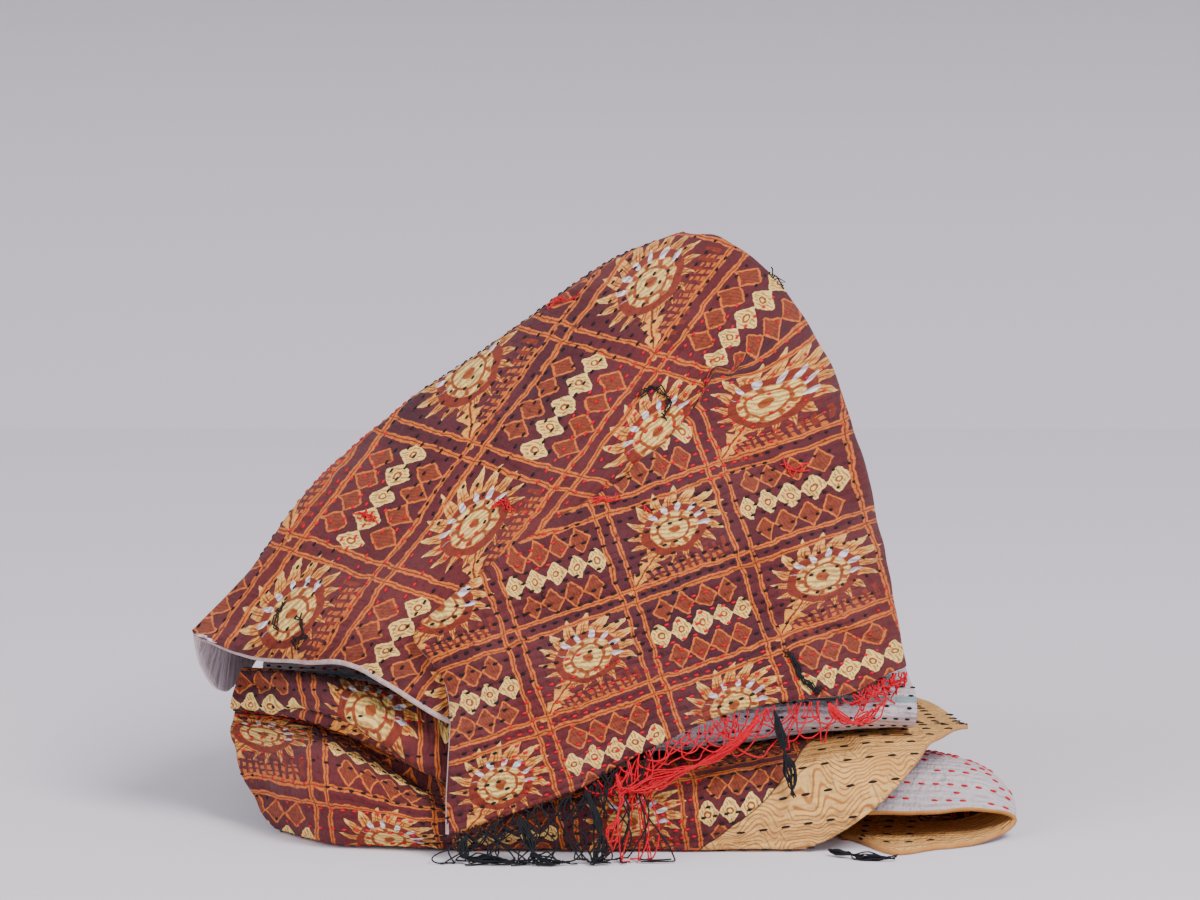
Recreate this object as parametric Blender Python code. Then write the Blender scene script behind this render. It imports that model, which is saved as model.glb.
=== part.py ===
"""Kantha quilt, pulled up to a peak over the folded pile of its own lower half.

One quilted cloth, printed side outwards on the peak.  Its front end hangs as a
flap with a free corner, a deep pleat beside it turns the cloth to the left, the
back comes down behind, and the rest runs to and fro underneath in flat layers.
The last layer's right margin is turned under itself, which leaves a small mouth.
Loose ends of the quilting thread hang from the front hem.

Lengths in the tables are millimetres.  +X is right, +Y is back, +Z is up.
The origin is on the floor, under the middle of the quilt.
"""
import math

import bpy
from mathutils import Vector

MM = 0.001
TABLE_MIDDLE = Vector((-1.6, -13.6, 0.0))    # middle of the outer box, in the tables' frame
THICKNESS = 3.0          # two cloths quilted together
COLUMNS = 30             # faces across the quilt
PANEL_COLUMNS = 11       # of them left of the pleat
PLEAT_COLUMNS = 2        # of them in the pleat's middle layer
FRONT_ROWS = 15          # faces from the front hem up to the ridge
BACK_ROWS = 9            # faces from the ridge down to the back turn
FRONT_BULGE = 26.0       # how far the front billows out
BACK_BULGE = 24.0
FLOOR_LAYER = THICKNESS / 2
MARGIN_SHARE = 0.22      # share of the width that is turned under at the end
TURN_SHARE = 0.10        # share of the width that the turn itself takes
TURNED_UNDER = {"end_layer_back": 0.15, "end_layer_middle": 0.75,
                "end_layer_front": 1.0, "end_hem": 1.0}
FLOOR_CLEARANCE = 2.2    # middle of a thread that lies on the floor

# (x, y, z) along the left hem, from the far left to the pleat's hidden foot
LEFT_HEM = (
    (-257, -50, 121), (-221, -77, 113), (-188, -102, 115), (-160, -124, 117),
    (-132, -142, 106), (-97, -153, 86), (-64, -152, 77),
)
# (x, y, z) along the front end hem, from the free corner to the right edge
FRONT_HEM = (
    (-98, -173, 13), (-69, -174, 25), (-19, -172, 43), (21, -168, 65), (72, -158, 88),
    (114, -150, 96), (151, -142, 99), (176, -124, 108), (189, -95, 108),
)
# (x, y, z) along the ridge, from the left edge over the peak to the right edge
RIDGE_LEFT = (
    (-259, -46, 122), (-228, -40, 156), (-188, -30, 211), (-126, -20, 263),
    (-51, -10, 312), (11, -5, 354), (54, 0, 371),
)
RIDGE_RIGHT = (
    (70, 0, 370), (102, 0, 348), (129, -5, 311), (151, -12, 259), (170, -25, 187),
    (185, -58, 124),
)
# (x, y, z) up the hidden inner crease of the pleat
INNER_CREASE = (
    (-64, -152, 77), (-58, -150, 92), (-51, -147, 108), (-44, -144, 124),
    (-30, -137, 146), (-12, -127, 170), (8, -116, 194), (30, -103, 220),
    (55, -91, 253), (74, -77, 288), (72, -46, 336), (54, 0, 371),
)
# (x, y, z) up the outer crease: the flap's free edge first, then its fold
OUTER_CREASE = (
    (-98, -173, 13), (-97, -168, 62), (-97, -162, 108), (-120, -152, 139),
    (-92, -147, 160), (-64, -141, 184), (-27, -130, 206), (10, -116, 229),
    (50, -101, 260), (84, -80, 290), (92, -46, 336), (70, 0, 370),
)
# (x, y, z) along the left edge of the back, which hangs down as a lobe
BACK_LEFT_EDGE = (
    (-259, -46, 122), (-254, -22, 99), (-243, 6, 84), (-232, 48, 92), (-226, 148, 116),
)

# One row for each station of the folded half, from the back foot to its far end:
# faces before it, x of its left and right ends, then y and z in four sections,
# at the far left, left of the flap, in the middle and on the right.
STATIONS = (
    # name              faces  x_left x_right   far left    left        middle      right
    ("back_foot",          0,  -226,  178,    148, 116,   149, 116,   150, 116,   150, 117),
    ("turn_under",         1,  -218,  184,    158, 108,   159, 108,   160, 108,   158, 108),
    ("upper_back",         1,  -212,  188,    146, 101,   147, 101,   148, 100,   146,  99),
    ("upper_middle",       2,  -214,  190,     60, 101,    55, 101,    40,  98,    40,  98),
    ("upper_front",        2,  -216,  193,    -22, 100,   -50,  99,   -92,  96,   -90,  97),
    ("curl_top",           1,  -216,  195,    -36,  97,   -66,  95,  -117,  91,  -113,  94),
    ("curl_front",         1,  -216,  196,    -43,  91,   -75,  86,  -127,  76,  -122,  85),
    ("curl_foot",          1,  -216,  195,    -36,  85,   -66,  77,  -117,  61,  -113,  76),
    ("middle_front",       1,  -214,  193,    -20,  81,   -48,  72,   -92,  56,   -90,  72),
    ("middle_layer",       2,  -212,  190,     60,  76,    55,  68,    40,  54,    40,  67),
    ("middle_back",        2,  -210,  188,    140,  70,   141,  63,   142,  54,   142,  58),
    ("back_turn_top",      1,  -212,  184,    158,  54,   159,  48,   160,  42,   158,  44),
    ("back_turn_foot",     1,  -206,  172,    162,  24,   163,  22,   164,  18,   162,  18),
    ("floor_back",         1,  -200,  150,    148, 1.5,   149, 1.5,   150, 1.5,   148, 1.5),
    ("floor_middle",       2,  -200,  128,     40, 1.5,    30, 1.5,    20, 1.5,    20, 1.5),
    ("floor_front",        2,  -202,  124,   -106, 1.5,  -124, 1.5,  -128, 1.5,  -126, 1.5),
    ("low_roll_foot",      1,  -214,  142,   -134,  11,  -146,   7,  -147,   8,  -146,  10),
    ("low_roll_front",     1,  -228,  174,   -146,  34,  -155,  18,  -154,  25,  -152,  34),
    ("low_roll_top",       1,  -236,  194,   -134,  58,  -150,  31,  -144,  41,  -142,  55),
    ("mouth_lip",          1,  -235,  203,   -100,  66,  -140,  36,  -124,  47,  -121,  64),
    ("mouth_end",          1,  -234,  210,    -80,  71,  -134,  40,  -110,  49,  -107,  66),
    ("mouth_roof",         1,  -234,  215,    -96,  76,  -139,  45,   -98,  49,   -95,  66),
    ("high_roll_foot",     1,  -236,  220,   -122,  78,  -147,  53,   -88,  49,   -85,  66),
    ("high_roll_front",    1,  -234,  224,   -128,  88,  -142,  70,   -78,  49,   -75,  66),
    ("high_roll_top",      1,  -230,  228,   -108, 100,  -118,  86,   -66,  48,   -63,  65),
    ("high_roll_back",     1,  -226,  231,    -70,  98,   -90,  83,   -52,  48,   -50,  63),
    ("top_layer_front",    1,  -220,  226,    -52,  76,   -72,  64,   -34,  47,   -32,  61),
    ("top_layer",          2,  -212,  216,     40,  66,    40,  59,    40,  46,    40,  58),
    ("top_layer_back",     2,  -206,  204,    118,  60,   120,  53,   124,  45,   124,  50),
    ("inner_turn",         1,  -198,  200,    136,  47,   138,  40,   140,  34,   138,  37),
    ("end_layer_back",     1,  -188,  206,    122,  34,   125,  29,   128,  23,   124,  24),
    ("end_layer_middle",   2,  -178,  232,     40,  29,    30,  25,    20,  21,    26,  34),
    ("end_layer_front",    2,  -174,  252,    -56,  26,   -62,  21,   -68,  20,   -62,  43),
    ("end_hem",            2,  -170,  259,    -98,  24,  -112,  18,  -116,  20,  -124,  21),
)
# (share of the width, y) along the end hem where its margin is turned under
MARGIN_HEM = ((0.70, -124), (0.78, -98), (0.84, -136), (0.92, -156), (1.0, -104))
SECTION_X = (-190.0, -95.0, 0.0, 185.0)     # where the four sections lie
ROUND_END_FROM = -165.0      # left of here the pile's plan is rounded
ROUND_END_TO = -240.0
ROUND_END_MIDDLE_Y = 30.0
RIDGE_ROWS = 3               # rows on each side over which the ridge is rounded

# One row for each bundle of loose thread: name, colour, thickness, and its
# route as (x, y, z) points chosen by hand.
TAILS = (
    ("tail_black_corner", "black_thread", 3.0,
     ((-84, -179, 17), (-86, -183, 9), (-82, -186, 3), (-68, -189, 2.2), (-52, -186, 2.2))),
    ("tail_black_left", "black_thread", 3.4,
     ((-52, -178, 28), (-47, -183, 17), (-42, -188, 6), (-34, -191, 2.2), (-20, -188, 2.2))),
    ("tail_black_middle", "black_thread", 3.2,
     ((-10, -176, 44), (-4, -181, 30), (-1, -185, 16), (-2, -189, 5), (-8, -191, 2.2))),
    ("tail_red_left", "red_thread", 2.6,
     ((8, -175, 55), (10, -178, 42), (9, -180, 28), (5, -182, 14), (2, -186, 3))),
    ("tail_red_swag", "red_thread", 3.0,
     ((98, -161, 90), (84, -163, 74), (62, -165, 60), (40, -170, 53), (22, -177, 47),
      (12, -181, 44))),
    ("tail_black_right", "black_thread", 3.0,
     ((106, -160, 92), (110, -161, 78), (113, -161, 64), (116, -162, 50), (118, -163, 38))),
    ("tail_red_right", "red_thread", 2.6,
     ((140, -151, 95), (146, -151, 86), (157, -147, 82), (168, -141, 88), (178, -134, 98))),
    ("tuft_floor", "black_thread", 3.0,
     ((140, -156, 3.4), (150, -164, 2.6), (163, -172, 2.2), (180, -176, 2.2))),
)


def clear_scene():
    for scene_object in list(bpy.data.objects):
        bpy.data.objects.remove(scene_object, do_unlink=True)


def material(name, colour, roughness):
    made = bpy.data.materials.new(name)
    made.use_nodes = True
    shader = made.node_tree.nodes["Principled BSDF"]
    shader.inputs["Base Color"].default_value = (*colour, 1.0)
    shader.inputs["Roughness"].default_value = roughness
    shader.inputs["Metallic"].default_value = 0.0
    return made


def smooth_step(value, start, end):
    """0 at start, 1 at end, and soft at both."""
    share = min(1.0, max(0.0, (value - start) / (end - start)))
    return share * share * (3.0 - 2.0 * share)


def curve_through(before, start, end, after, share):
    """A point on the smooth curve through start and end."""
    out = []
    for a, b, c, d in zip(before, start, end, after):
        slope_in = (c - a) / 2
        slope_out = (d - b) / 2
        change = c - b
        out.append(b + share * slope_in
                   + share ** 2 * (3 * change - 2 * slope_in - slope_out)
                   + share ** 3 * (slope_in + slope_out - 2 * change))
    return Vector(out)


def along(points, share):
    """The point at a share of the way along a table of points, on a smooth curve."""
    place = share * (len(points) - 1)
    index = min(int(place), len(points) - 2)
    before = points[max(index - 1, 0)]
    after = points[min(index + 2, len(points) - 1)]
    return curve_through(before, points[index], points[index + 1], after, place - index)


def patch(bottom, top, left, right, across, up):
    """A point on the cloth that spans four edges, across and up as shares."""
    between_sides = left(up).lerp(right(up), across)
    between_ends = bottom(across).lerp(top(across), up)
    corners = (bottom(0.0).lerp(bottom(1.0), across)).lerp(top(0.0).lerp(top(1.0), across), up)
    return between_sides + between_ends - corners


def ripple(across, up):
    """The soft unevenness of quilted cloth, in millimetres."""
    return (1.6 * math.sin(across * 21.0 + up * 5.0)
            + 1.1 * math.sin(up * 27.0 - across * 9.0 + 1.3))


def panel_point(across, up):
    """The front, left of the pleat."""
    point = patch(lambda s: along(LEFT_HEM, s), lambda s: along(RIDGE_LEFT, s),
                  lambda t: Vector(LEFT_HEM[0]).lerp(Vector(RIDGE_LEFT[0]), t),
                  lambda t: along(INNER_CREASE, t), across, up)
    swell = math.sin(math.pi * up) * math.sin(math.pi * across) ** 0.6
    point.y -= (FRONT_BULGE + ripple(across, up)) * swell
    return point


def flap_point(across, up):
    """The front, from the outer crease to the right edge."""
    point = patch(lambda s: along(FRONT_HEM, s), lambda s: along(RIDGE_RIGHT, s),
                  lambda t: along(OUTER_CREASE, t),
                  lambda t: Vector(FRONT_HEM[-1]).lerp(Vector(RIDGE_RIGHT[-1]), t), across, up)
    swell = math.sin(math.pi * up) * math.sin(math.pi * across) ** 0.6
    point.y -= (FRONT_BULGE + ripple(across + 0.4, up)) * swell
    return point


def front_point(column, up):
    """A point of the tent's front at a column's number."""
    flap_start = PANEL_COLUMNS + PLEAT_COLUMNS
    if column <= PANEL_COLUMNS:
        return panel_point(column / PANEL_COLUMNS, up)
    if column >= flap_start:
        return flap_point((column - flap_start) / (COLUMNS - flap_start), up)
    share = (column - PANEL_COLUMNS) / PLEAT_COLUMNS
    return along(INNER_CREASE, up).lerp(along(OUTER_CREASE, up), share)


def back_point(column, down):
    """A point of the tent's back, from the ridge down to the back foot."""
    across = column / COLUMNS
    foot = pile_point(column, STATIONS[0])
    point = front_point(column, 1.0).lerp(foot, down)
    swell = math.sin(math.pi * down)
    point.y += (BACK_BULGE + ripple(across * 1.7, down + 2.0)) * swell * min(1.0, 6 * across)
    lobe = along(BACK_LEFT_EDGE, down)
    straight = Vector(BACK_LEFT_EDGE[0]).lerp(Vector(BACK_LEFT_EDGE[-1]), down)
    return point + (lobe - straight) * math.exp(-(across / 0.06) ** 2)


def section_values(x, values):
    """y and z at this x, blended from the sections on either side of it."""
    index = 0
    while index < len(SECTION_X) - 2 and x > SECTION_X[index + 1]:
        index += 1
    share = smooth_step(x, SECTION_X[index], SECTION_X[index + 1])
    low = Vector(values[2 * index:2 * index + 2])
    high = Vector(values[2 * index + 2:2 * index + 4])
    return low.lerp(high, share)


def turned_under(across, x_left, x_right, amount):
    """x and drop of a layer whose right margin is turned under by amount, 0 to 1.

    The drop is 0 on the layer, 1 at the turn and 2 on the margin beneath it.
    """
    flat_x = x_left + (x_right - x_left) * across
    turn_start = 1.0 - MARGIN_SHARE - TURN_SHARE / 2
    run = (x_right - x_left) * 1.24
    turn_x = x_left + run * turn_start
    past = (across - turn_start) / TURN_SHARE
    if past <= 0.0:
        folded_x = x_left + run * across
        drop = 0.0
    elif past <= 1.0:
        folded_x = turn_x + math.sin(math.pi * past) * (x_right - turn_x)
        drop = 1.0 - math.cos(math.pi * past)
    else:
        folded_x = turn_x - (past - 1.0) * run * TURN_SHARE * 0.75
        drop = 2.0
    return flat_x + (folded_x - flat_x) * amount, drop * amount


def pile_point(column, station):
    """A point of the folded half at a column's number and a station."""
    name, _, x_left, x_right = station[:4]
    across = column / COLUMNS
    x, drop = turned_under(across, x_left, x_right, TURNED_UNDER.get(name, 0.0))
    y, z = section_values(x, station[4:])
    z += (FLOOR_LAYER - z) * drop / 2
    if name == "end_hem" and across > MARGIN_HEM[0][0]:
        y = margin_hem_y(across)
    rounding = smooth_step(x, ROUND_END_FROM, ROUND_END_TO)
    y += (ROUND_END_MIDDLE_Y - y) * 0.55 * rounding
    if z > FLOOR_LAYER:
        z -= 0.06 * rounding * (z - FLOOR_LAYER)
    return Vector((x, y, z))


def margin_hem_y(across):
    """How far forward the end hem reaches where its margin is turned under."""
    for (share, y), (next_share, next_y) in zip(MARGIN_HEM, MARGIN_HEM[1:]):
        if across <= next_share:
            return y + (next_y - y) * smooth_step(across, share, next_share)
    return MARGIN_HEM[-1][1]


def pile_rows():
    """Rows of points through all the stations, smooth from each to the next."""
    columns = [[pile_point(column, station) for station in STATIONS]
               for column in range(COLUMNS + 1)]
    rows = []
    for index in range(1, len(STATIONS)):
        faces = STATIONS[index][1]
        for step in range(1, faces + 1):
            row = []
            for points in columns:
                before = points[max(index - 2, 0)]
                after = points[min(index + 1, len(points) - 1)]
                point = curve_through(before, points[index - 1], points[index], after,
                                      step / faces)
                point.z = max(point.z, FLOOR_LAYER)
                row.append(point)
            rows.append(row)
    return rows


def quilt_rows():
    """The middle surface of the whole quilt, row by row from the front hem."""
    rows = []
    for step in range(FRONT_ROWS + 1):
        rows.append([front_point(column, step / FRONT_ROWS) for column in range(COLUMNS + 1)])
    for step in range(1, BACK_ROWS + 1):
        rows.append([back_point(column, step / BACK_ROWS) for column in range(COLUMNS + 1)])
    round_ridge(rows)
    return rows + pile_rows()


def round_ridge(rows):
    """Round the peak's edge, row by row, without lowering it."""
    nearby = range(FRONT_ROWS - RIDGE_ROWS, FRONT_ROWS + RIDGE_ROWS + 1)
    for column in range(2, COLUMNS + 1):
        height = rows[FRONT_ROWS][column].z
        for _ in range(RIDGE_ROWS):
            smoothed = {row: (rows[row - 1][column] + 2 * rows[row][column]
                              + rows[row + 1][column]) / 4 for row in nearby}
            for row, point in smoothed.items():
                rows[row][column] = point
        lost = height - rows[FRONT_ROWS][column].z
        for row in nearby:
            share = 1.0 - abs(row - FRONT_ROWS) / (RIDGE_ROWS + 1)
            rows[row][column].z += lost * smooth_step(share, 0.0, 1.0)


def make_quilt(cloth):
    rows = quilt_rows()
    width = COLUMNS + 1
    points = [(point - TABLE_MIDDLE) * MM for row in rows for point in row]
    faces = []
    for row in range(len(rows) - 1):
        for column in range(COLUMNS):
            corner = row * width + column
            faces.append((corner, corner + 1, corner + 1 + width, corner + width))
    mesh = bpy.data.meshes.new("quilt")
    mesh.from_pydata(points, [], faces)
    mesh.shade_smooth()
    mesh.materials.append(cloth)
    quilt = bpy.data.objects.new("quilt", mesh)
    bpy.context.scene.collection.objects.link(quilt)
    thicken = quilt.modifiers.new("thickness", "SOLIDIFY")
    thicken.thickness = THICKNESS * MM
    thicken.offset = 0.0
    thicken.use_rim = True
    return quilt


def make_tail(name, thread, thickness, route):
    """A bundle of loose thread as one tapering tube along its route."""
    count = 3 * (len(route) - 1) + 1
    curve = bpy.data.curves.new(name, "CURVE")
    curve.dimensions = "3D"
    curve.bevel_depth = thickness / 2 * MM
    curve.bevel_resolution = 2
    curve.use_fill_caps = True
    spline = curve.splines.new("POLY")
    spline.points.add(count - 1)
    for index in range(count):
        point = along(route, index / (count - 1))
        point.z = max(point.z, FLOOR_CLEARANCE)
        spline.points[index].co = (*((point - TABLE_MIDDLE) * MM), 1.0)
    curve.materials.append(thread)
    tail = bpy.data.objects.new(name, curve)
    bpy.context.scene.collection.objects.link(tail)
    return tail


def main():
    clear_scene()
    cloth = material("printed_cotton", (0.16, 0.045, 0.04), 0.9)
    threads = {
        "black_thread": material("black_thread", (0.012, 0.013, 0.015), 0.7),
        "red_thread": material("red_thread", (0.62, 0.01, 0.04), 0.7),
    }
    make_quilt(cloth)
    for name, thread, thickness, route in TAILS:
        make_tail(name, threads[thread], thickness, route)


main()
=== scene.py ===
# %% [markdown]
# # Kantha quilt, pulled up to a peak over its own folded pile
#
# A kantha is two or more old cotton cloths laid on each other and held together
# by long rows of hand running stitch.  This one has a plum printed face with a
# gold border at its end, a pale pink-white back, and loose ends of black and red
# quilting thread at its front hem.  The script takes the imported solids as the
# frame, lays a fine cloth on the same folds, prints it with shader nodes, and
# sews the stitches and the loose threads on as small meshes.
import math
import bmesh
import bpy
import numpy as np
from mathutils import Matrix, Vector, noise


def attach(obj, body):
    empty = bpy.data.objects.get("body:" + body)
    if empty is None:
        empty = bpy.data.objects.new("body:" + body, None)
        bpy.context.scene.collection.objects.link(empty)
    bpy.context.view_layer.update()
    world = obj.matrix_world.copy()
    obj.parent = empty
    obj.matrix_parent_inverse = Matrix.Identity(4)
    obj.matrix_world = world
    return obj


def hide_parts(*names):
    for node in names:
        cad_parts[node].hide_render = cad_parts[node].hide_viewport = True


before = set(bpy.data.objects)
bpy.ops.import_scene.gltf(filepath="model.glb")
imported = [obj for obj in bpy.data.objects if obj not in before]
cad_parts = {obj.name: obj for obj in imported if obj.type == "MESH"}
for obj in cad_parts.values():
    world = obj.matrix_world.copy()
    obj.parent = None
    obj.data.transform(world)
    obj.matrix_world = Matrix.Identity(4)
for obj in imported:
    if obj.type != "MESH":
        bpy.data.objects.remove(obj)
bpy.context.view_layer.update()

MM = 0.001
scene = bpy.context.scene

# %% [markdown]
# ## The folds
#
# The cloth lies where its solid lies, so the tables of the folds are the solid's
# own, in millimetres: the hems, the ridge, the two creases of the deep pleat, and
# one row for each station of the folded half.  Smooth curves run through them.

# %% Sizes shared with the solid
THICKNESS = 3.0
TABLE_MIDDLE = np.array((-1.6, -13.6, 0.0))
SOLID_COLUMNS = 30
PANEL_COLUMNS = 11
PLEAT_COLUMNS = 2
FRONT_BULGE = 26.0
BACK_BULGE = 24.0
FLOOR_LAYER = THICKNESS / 2
MARGIN_SHARE = 0.22
TURN_SHARE = 0.10
TURNED_UNDER = {"end_layer_back": 0.15, "end_layer_middle": 0.75,
                "end_layer_front": 1.0, "end_hem": 1.0}

# %% Hems, ridge and creases
LEFT_HEM = (
    (-257, -50, 121), (-221, -77, 113), (-188, -102, 115), (-160, -124, 117),
    (-132, -142, 106), (-97, -153, 86), (-64, -152, 77),
)
FRONT_HEM = (
    (-98, -173, 13), (-69, -174, 25), (-19, -172, 43), (21, -168, 65), (72, -158, 88),
    (114, -150, 96), (151, -142, 99), (176, -124, 108), (189, -95, 108),
)
RIDGE_LEFT = (
    (-259, -46, 122), (-228, -40, 156), (-188, -30, 211), (-126, -20, 263),
    (-51, -10, 312), (11, -5, 354), (54, 0, 371),
)
RIDGE_RIGHT = (
    (70, 0, 370), (102, 0, 348), (129, -5, 311), (151, -12, 259), (170, -25, 187),
    (185, -58, 124),
)
INNER_CREASE = (
    (-64, -152, 77), (-58, -150, 92), (-51, -147, 108), (-44, -144, 124),
    (-30, -137, 146), (-12, -127, 170), (8, -116, 194), (30, -103, 220),
    (55, -91, 253), (74, -77, 288), (72, -46, 336), (54, 0, 371),
)
OUTER_CREASE = (
    (-98, -173, 13), (-97, -168, 62), (-97, -162, 108), (-120, -152, 139),
    (-92, -147, 160), (-64, -141, 184), (-27, -130, 206), (10, -116, 229),
    (50, -101, 260), (84, -80, 290), (92, -46, 336), (70, 0, 370),
)
BACK_LEFT_EDGE = (
    (-259, -46, 122), (-254, -22, 99), (-243, 6, 84), (-232, 48, 92), (-226, 148, 116),
)

# %% Stations of the folded half
# Fine faces before each station, x of its left and right ends, then y and z in
# four sections: far left, left of the flap, middle, right.
STATIONS = (
    # name              faces  x_left x_right   far left    left        middle      right
    ("back_foot",          0,  -226,  178,    148, 116,   149, 116,   150, 116,   150, 117),
    ("turn_under",         3,  -218,  184,    158, 108,   159, 108,   160, 108,   158, 108),
    ("upper_back",         3,  -212,  188,    146, 101,   147, 101,   148, 100,   146,  99),
    ("upper_middle",       4,  -214,  190,     60, 101,    55, 101,    40,  98,    40,  98),
    ("upper_front",        6,  -216,  193,    -22, 100,   -50,  99,   -92,  96,   -90,  97),
    ("curl_top",           5,  -216,  195,    -36,  97,   -66,  95,  -117,  91,  -113,  94),
    ("curl_front",         5,  -216,  196,    -43,  91,   -75,  86,  -127,  76,  -122,  85),
    ("curl_foot",          5,  -216,  195,    -36,  85,   -66,  77,  -117,  61,  -113,  76),
    ("middle_front",       4,  -214,  193,    -20,  81,   -48,  72,   -92,  56,   -90,  72),
    ("middle_layer",       4,  -212,  190,     60,  76,    55,  68,    40,  54,    40,  67),
    ("middle_back",        4,  -210,  188,    140,  70,   141,  63,   142,  54,   142,  58),
    ("back_turn_top",      3,  -212,  184,    158,  54,   159,  48,   160,  42,   158,  44),
    ("back_turn_foot",     4,  -206,  172,    162,  24,   163,  22,   164,  18,   162,  18),
    ("floor_back",         3,  -200,  150,    148, 1.5,   149, 1.5,   150, 1.5,   148, 1.5),
    ("floor_middle",       4,  -200,  128,     40, 1.5,    30, 1.5,    20, 1.5,    20, 1.5),
    ("floor_front",        6,  -202,  124,   -106, 1.5,  -124, 1.5,  -128, 1.5,  -126, 1.5),
    ("low_roll_foot",      5,  -214,  142,   -134,  11,  -146,   7,  -147,   8,  -146,  10),
    ("low_roll_front",     6,  -228,  174,   -146,  34,  -155,  18,  -154,  25,  -152,  34),
    ("low_roll_top",       7,  -236,  194,   -134,  58,  -150,  31,  -144,  41,  -142,  55),
    ("mouth_lip",          7,  -235,  203,   -100,  66,  -140,  36,  -124,  47,  -121,  64),
    ("mouth_end",          5,  -234,  210,    -80,  71,  -134,  40,  -110,  49,  -107,  66),
    ("mouth_roof",         5,  -234,  215,    -96,  76,  -139,  45,   -98,  49,   -95,  66),
    ("high_roll_foot",     5,  -236,  220,   -122,  78,  -147,  53,   -88,  49,   -85,  66),
    ("high_roll_front",    5,  -234,  224,   -128,  88,  -142,  70,   -78,  49,   -75,  66),
    ("high_roll_top",      5,  -230,  228,   -108, 100,  -118,  86,   -66,  48,   -63,  65),
    ("high_roll_back",     5,  -226,  231,    -70,  98,   -90,  83,   -52,  48,   -50,  63),
    ("top_layer_front",    5,  -220,  226,    -52,  76,   -72,  64,   -34,  47,   -32,  61),
    ("top_layer",          5,  -212,  216,     40,  66,    40,  59,    40,  46,    40,  58),
    ("top_layer_back",     5,  -206,  204,    118,  60,   120,  53,   124,  45,   124,  50),
    ("inner_turn",         4,  -198,  200,    136,  47,   138,  40,   140,  34,   138,  37),
    ("end_layer_back",     4,  -188,  206,    122,  34,   125,  29,   128,  23,   124,  24),
    ("end_layer_middle",   6,  -178,  232,     40,  29,    30,  25,    20,  21,    26,  34),
    ("end_layer_front",   12,  -174,  252,    -56,  26,   -62,  21,   -68,  20,   -62,  43),
    ("end_hem",           14,  -170,  259,    -98,  24,  -112,  18,  -116,  20,  -124,  21),
)
MARGIN_HEM = ((0.70, -124), (0.78, -98), (0.84, -136), (0.92, -156), (1.0, -104))
SECTION_X = (-190.0, -95.0, 0.0, 185.0)
ROUND_END_FROM = -165.0
ROUND_END_TO = -240.0
ROUND_END_MIDDLE_Y = 30.0

# %% Smooth curves and patches
def smooth_step(value, start, end):
    share = min(1.0, max(0.0, (value - start) / (end - start)))
    return share * share * (3.0 - 2.0 * share)


def curve_through(before, start, end, after, share):
    """A point on the smooth curve through start and end."""
    slope_in = (end - before) / 2
    slope_out = (after - start) / 2
    change = end - start
    return (start + share * slope_in + share ** 2 * (3 * change - 2 * slope_in - slope_out)
            + share ** 3 * (slope_in + slope_out - 2 * change))


def along(points, share):
    """The point at a share of the way along a table of points."""
    place = share * (len(points) - 1)
    index = min(int(place), len(points) - 2)
    around = [np.array(points[min(max(index + step, 0), len(points) - 1)], float)
              for step in (-1, 0, 1, 2)]
    return curve_through(*around, place - index)


def blend_points(first, second, share):
    return first + (second - first) * share


def patch(bottom, top, left, right, across, up):
    """A point on the cloth that spans four edges, across and up as shares."""
    sides = blend_points(left(up), right(up), across)
    ends = blend_points(bottom(across), top(across), up)
    corners = blend_points(blend_points(bottom(0.0), bottom(1.0), across),
                           blend_points(top(0.0), top(1.0), across), up)
    return sides + ends - corners


def ripple(across, up):
    return (1.6 * math.sin(across * 21.0 + up * 5.0)
            + 1.1 * math.sin(up * 27.0 - across * 9.0 + 1.3))


# %% The peak's front and back
def straight(first, second):
    return lambda share: blend_points(np.array(first, float), np.array(second, float), share)


def follow(points):
    """A table's curve with its points worked out once."""
    memory = {}

    def read(share):
        if share not in memory:
            memory[share] = along(points, share)
        return memory[share]
    return read


left_hem, front_hem = follow(LEFT_HEM), follow(FRONT_HEM)
ridge_left, ridge_right = follow(RIDGE_LEFT), follow(RIDGE_RIGHT)
inner_crease, outer_crease = follow(INNER_CREASE), follow(OUTER_CREASE)
left_end = straight(LEFT_HEM[0], RIDGE_LEFT[0])
right_end = straight(FRONT_HEM[-1], RIDGE_RIGHT[-1])


def front_point(column, up):
    """A point of the peak's front at a column's number, from the hem up."""
    flap_start = PANEL_COLUMNS + PLEAT_COLUMNS
    if PANEL_COLUMNS < column < flap_start:
        share = (column - PANEL_COLUMNS) / PLEAT_COLUMNS
        return blend_points(inner_crease(up), outer_crease(up), share)
    if column <= PANEL_COLUMNS:
        across = column / PANEL_COLUMNS
        point = patch(left_hem, ridge_left, left_end, inner_crease, across, up)
        wave = ripple(across, up)
    else:
        across = (column - flap_start) / (SOLID_COLUMNS - flap_start)
        point = patch(front_hem, ridge_right, outer_crease, right_end, across, up)
        wave = ripple(across + 0.4, up)
    swell = math.sin(math.pi * up) * math.sin(math.pi * across) ** 0.6
    point[1] -= (FRONT_BULGE + wave) * swell
    return point


def back_point(column, down):
    """A point of the peak's back, from the ridge down to the back foot."""
    across = column / SOLID_COLUMNS
    point = blend_points(front_point(column, 1.0), pile_point(column, STATIONS[0]), down)
    swell = math.sin(math.pi * down)
    point[1] += (BACK_BULGE + ripple(across * 1.7, down + 2.0)) * swell * min(1.0, 6 * across)
    first, last = np.array(BACK_LEFT_EDGE[0]), np.array(BACK_LEFT_EDGE[-1])
    lobe = along(BACK_LEFT_EDGE, down) - blend_points(first, last, down)
    return point + lobe * math.exp(-(across / 0.06) ** 2)


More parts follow.
